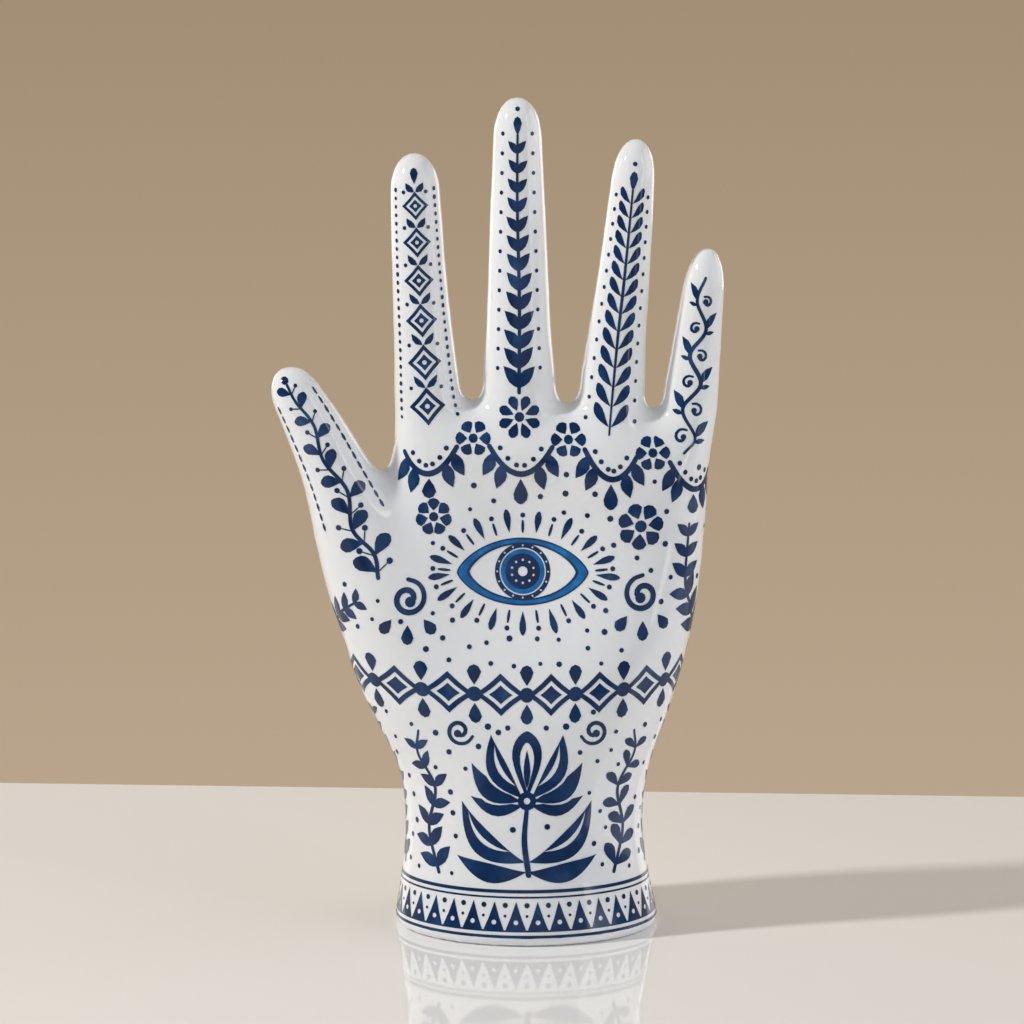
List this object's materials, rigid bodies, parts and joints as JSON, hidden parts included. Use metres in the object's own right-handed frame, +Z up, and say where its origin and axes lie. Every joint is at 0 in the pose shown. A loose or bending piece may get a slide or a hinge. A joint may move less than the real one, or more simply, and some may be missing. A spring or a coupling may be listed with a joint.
{
  "type": "hand jewelry stand",
  "caption": "Upright porcelain hand with spread fingers that stands on its wrist and holds finger rings, bracelets and chains.",
  "frame": {"origin": "on the table, in the middle of the box round the whole hand", "axes": "+Z runs up the middle finger, -Y is the side that the palm faces, and -X is the side that the thumb points to"},
  "size_m": [0.0868, 0.042, 0.1601],
  "materials": {
    "glazed_porcelain": "clear glossy glaze over white porcelain",
    "bare_porcelain": "unglazed fired porcelain",
    "navy_print": "cobalt transfer print under the glaze",
    "bright_blue_print": "bright blue transfer print under the glaze"
  },
  "bodies": {
    "root": {"porcelain_hand": "glazed_porcelain"}
  },
  "joints": []
}
